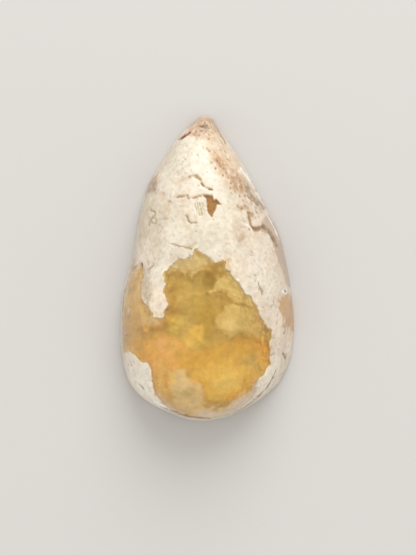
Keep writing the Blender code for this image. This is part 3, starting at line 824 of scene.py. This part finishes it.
# One node, its settings by name or by socket, and what feeds it.
def addNode(tree, kind, settings=None, links=None):
    node = tree.nodes.new(kind)
    for name, value in (settings or {}).items():
        if isinstance(name, str) and hasattr(node, name):
            setattr(node, name, value)
        else:
            node.inputs[name].default_value = value
    for name, source in (links or {}).items():
        tree.links.new(source, node.inputs[name])
    return node


def mapRange(tree, source, before, after):  # from the first pair of numbers to the second
    settings = {1: before[0], 2: before[1], 3: after[0], 4: after[1]}
    return addNode(tree, "ShaderNodeMapRange", settings, {0: source}).outputs["Result"]


def scaled(tree, colour, factor):
    node = addNode(tree, "ShaderNodeVectorMath", {"operation": "SCALE"}, {0: colour, "Scale": factor})
    return node.outputs["Vector"]


def bumped(tree, place, texture, bump):  # a normal, roughened by noise
    noisy = addNode(tree, "ShaderNodeTexNoise", texture, {"Vector": place})
    return addNode(tree, "ShaderNodeBump", bump, {"Height": noisy.outputs["Fac"]}).outputs["Normal"]


def newMaterial(name):
    material = bpy.data.materials.new(name)
    material.use_nodes = True
    shader = material.node_tree.nodes["Principled BSDF"]
    return material, material.node_tree, shader


rockFinish = {  # lapped to a soft eggshell gloss, with open pores
    "ior": 1.5,
    "ash": {"Scale": 1 / (0.35 * mm), "Detail": 6.0, "Roughness": 0.65},
    "ashWhere": (0.30, 0.72),
    "ashShade": (0.85, 1.09),
    "grainSize": 0.6,
    "grainBend": 0.6,
    "grainShade": (0.94, 1.05),
    "polishWhere": (0.3, 0.7),
    "polish": (0.26, 0.46),  # roughness where the ash is dark and light
    "hollowRoughness": 0.95,
    "pores": {"Scale": 1 / (0.12 * mm), "Detail": 3.0},
    "poreBump": {"Strength": 0.22, "Distance": 0.02 * mm},
}


def polishedRhyolite():
    finish = rockFinish
    material, tree, shader = newMaterial("polishedRhyolite")
    place = addNode(tree, "ShaderNodeTexCoord").outputs["Object"]
    tone = addNode(tree, "ShaderNodeAttribute", {"attribute_name": "tone"})  # alpha 0 in matt hollows
    ash = addNode(tree, "ShaderNodeTexNoise", finish["ash"], {"Vector": place})
    ashShade = mapRange(tree, ash.outputs["Fac"], finish["ashWhere"], finish["ashShade"])
    bend = {"operation": "MULTIPLY_ADD", 1: (finish["grainBend"] * mm,) * 3}
    bent = addNode(tree, "ShaderNodeVectorMath", bend, {0: ash.outputs["Color"], 2: place})
    grains = addNode(tree, "ShaderNodeTexVoronoi", {"Scale": 1 / (finish["grainSize"] * mm)},
                     {"Vector": bent.outputs["Vector"]})
    grainShade = mapRange(tree, grains.outputs["Color"], (0.0, 1.0), finish["grainShade"])
    shaded = scaled(tree, scaled(tree, tone.outputs["Color"], ashShade), grainShade)
    lapped = mapRange(tree, ash.outputs["Fac"], finish["polishWhere"], finish["polish"])
    polish = addNode(tree, "ShaderNodeMapRange", {3: finish["hollowRoughness"]},
                     {0: tone.outputs["Alpha"], 4: lapped})
    pores = bumped(tree, place, finish["pores"], finish["poreBump"])
    shader.inputs["IOR"].default_value = finish["ior"]
    tree.links.new(shaded, shader.inputs["Base Color"])
    tree.links.new(polish.outputs["Result"], shader.inputs["Roughness"])
    tree.links.new(pores, shader.inputs["Normal"])
    return material


def honeyOpal():  # clear, with a glassy polish: what it takes from the light grows with its depth
    material, tree, shader = newMaterial("honeyOpal")
    shader.inputs["Base Color"].default_value = (1, 1, 1, 1)
    shader.inputs["Roughness"].default_value = opalSpec["roughness"]
    shader.inputs["IOR"].default_value = opalSpec["ior"]
    shader.inputs["Transmission Weight"].default_value = 1.0
    body = {"Color": linear(opalSpec["absorptionColour"]), "Density": opalSpec["absorptionDensity"]}
    absorb = addNode(tree, "ShaderNodeVolumeAbsorption", body)
    tree.links.new(absorb.outputs["Volume"], tree.nodes["Material Output"].inputs["Volume"])
    return material


surface = wrapStone(stoneRows())
places = rowsOf(surface.data.vertices, "co") / mm
normals = rowsOf(surface.data.vertex_normals, "vector")
print("stone cut:", len(surface.data.polygons), "faces")

# the ground wall and the back have no window, and the hollow stays clear of the back
shown = shownPlaces(places)
inWindow = np.minimum(windowDepth(shown), places[:, 2] - cut["girdleHeight"] + opalSpec["wallMargin"])
toFloor = refractedDown(normals)
depth, floorColour = hollowFloor(shown, inWindow)
room = np.maximum(places[:, 2] - opalSpec["lowest"], 0)
depth = np.minimum(depth, room / np.maximum(-toFloor[:, 2], opalSpec["flattestRay"]))
print("opal hollow laid out")


def copyOfSurface(name):
    bpy.ops.object.select_all(action="DESELECT")
    surface.select_set(True)
    bpy.context.view_layer.objects.active = surface
    bpy.ops.object.duplicate()
    piece = bpy.context.object
    piece.name = name
    return piece


def makeRock():
    spec = rockSpec
    count = len(places)
    colour, relief = addCracks(shown, rockColour(shown))
    colour, relief = addPits(shown, normals, colour, relief)
    colour, relief = addVug(shown, colour, relief)
    # painted shade: a dark line along the girdle edge
    colour = blend(colour, paint(spec["grimeAndEdgeShade"], count), girdleLine(places))
    outside = 1 - ramp(inWindow, *spec["windowRim"])
    atBack = ramp(-normals[:, 2], *spec["backWhere"])
    colour = blend(colour, paint(spec["sawnBack"], count), atBack * spec["backStrength"])
    colour = blend(floorColour, colour, outside)
    colour[:, 3] = 1 - ramp(relief, *spec["mattWhere"])
    sunk = relief * outside * (1 - atBack)
    rock = copyOfSurface("rhyolite_stone")
    moveVertices(rock.data, places - normals * sunk[:, None] + toFloor * depth[:, None])
    tone = rock.data.attributes.new("tone", "FLOAT_COLOR", "POINT")
    tone.data.foreach_set("color", colour.astype(np.float32).ravel())
    coat(rock, polishedRhyolite())
    return rock


def selectWindowless(mesh):  # the faces that are not in or just round the windows
    bpy.ops.object.mode_set(mode="EDIT")
    bpy.ops.mesh.select_all(action="DESELECT")
    bpy.ops.object.mode_set(mode="OBJECT")
    corners = np.empty(len(mesh.loops), np.int32)
    mesh.loops.foreach_get("vertex_index", corners)
    starts = np.empty(len(mesh.polygons), np.int32)
    mesh.polygons.foreach_get("loop_start", starts)
    highest = np.maximum.reduceat(inWindow[corners], starts)
    lowestZ = np.minimum.reduceat(places[corners, 2], starts)
    kept = (highest > -opalSpec["tuckReach"]) & (lowestZ > opalSpec["lowest"] - opalSpec["lowestMargin"])
    mesh.polygons.foreach_set("select", ~kept)


def makeOpal():
    spec = opalSpec
    tucked = spec["tuck"] * (1 - ramp(inWindow, -spec["tuckFade"], 0.0))
    opal = copyOfSurface("honey_opal")
    mesh = opal.data
    goals = {
        "topPlace": places - normals * tucked[:, None],
        "floorPlace": places + toFloor * (np.maximum(depth, tucked) + spec["overlap"])[:, None],
    }
    for name, value in goals.items():
        attribute = mesh.attributes.new(name, "FLOAT_VECTOR", "POINT")
        attribute.data.foreach_set("vector", value.astype(np.float32).ravel())
    selectWindowless(mesh)
    bpy.ops.object.mode_set(mode="EDIT")
    bpy.ops.mesh.delete(type="FACE")
    # the sheet is extruded: the old one sinks to the floor, the new one is the polished face
    bpy.ops.mesh.select_all(action="SELECT")
    bpy.ops.mesh.extrude_region()
    bpy.ops.object.mode_set(mode="OBJECT")
    isTop = np.empty(len(mesh.vertices), bool)
    mesh.vertices.foreach_get("select", isTop)
    found = {name: rowsOf(mesh.attributes[name].data, "vector") for name in goals}
    moveVertices(mesh, np.where(isTop[:, None], found["topPlace"], found["floorPlace"]))
    for name in goals:
        mesh.attributes.remove(mesh.attributes[name])
    bpy.ops.object.mode_set(mode="EDIT")
    fixNormals()
    coat(opal, honeyOpal())
    return opal


rock = makeRock()
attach(rock, "root")
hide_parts("cabochon")
print("rock made:", len(rock.data.polygons), "faces")

opal = makeOpal()
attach(opal, "root")
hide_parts("cabochon")
print("opal made:", len(opal.data.polygons), "faces")

bpy.data.objects.remove(surface)


# The plain floor, the soft light and the camera straight above, as the photo was taken. The floor's
# and the light's sizes and places are in metres.
studio = {
    "floorSize": 0.6,
    "floorDrop": 0.01 * mm,
    "floorColour": "#C0BEBB",
    "floorRoughness": 0.9,
    "tooth": {"Scale": 1 / (0.8 * mm), "Detail": 4.0},
    "toothBump": {"Strength": 0.1, "Distance": 0.05 * mm},
    "worldColour": "#FFFDFA",
    "worldStrength": 0.98,
    "keyAt": (0.06, 0.32, 0.235),
    "keySize": 0.34,
    "keyPower": 1.34,
    "sensorWidth": 36.0,
    "clip": (0.001, 10.0),
}


def makeFloor():
    bpy.ops.mesh.primitive_plane_add(size=studio["floorSize"], location=(0, 0, -studio["floorDrop"]))
    floor = bpy.context.object
    floor.name = "plain_floor"
    material, tree, shader = newMaterial("mattCard")  # a matt pale card with a faint tooth
    place = addNode(tree, "ShaderNodeTexCoord").outputs["Object"]
    tooth = bumped(tree, place, studio["tooth"], studio["toothBump"])
    shader.inputs["Base Color"].default_value = linear(studio["floorColour"])
    shader.inputs["Roughness"].default_value = studio["floorRoughness"]
    tree.links.new(tooth, shader.inputs["Normal"])
    floor.data.materials.append(material)


def makeLight():
    world = bpy.data.worlds.new("softRoom")
    bpy.context.scene.world = world
    world.use_nodes = True
    background = world.node_tree.nodes["Background"]
    background.inputs["Color"].default_value = linear(studio["worldColour"])
    background.inputs["Strength"].default_value = studio["worldStrength"]
    bpy.ops.object.light_add(type="AREA", location=studio["keyAt"])
    key = bpy.context.object
    key.name = "keyLight"
    key.data.shape = "DISK"
    key.data.size = studio["keySize"]
    key.data.energy = studio["keyPower"]
    key.rotation_euler = Vector(studio["keyAt"]).to_track_quat("Z", "Y").to_euler()


def makeCamera():
    height = photo["cameraHeight"]
    bpy.ops.object.camera_add(location=(cameraX * mm, cameraY * mm, height * mm), rotation=(0, 0, 0))
    camera = bpy.context.object
    camera.data.sensor_width = studio["sensorWidth"]
    camera.data.lens = studio["sensorWidth"] * height / (photo["height"] * pixel)
    camera.data.clip_start, camera.data.clip_end = studio["clip"]
    bpy.context.scene.camera = camera


makeFloor()
makeLight()
makeCamera()
bpy.context.scene.view_settings.view_transform = "Standard"
print("floor, light and camera set")
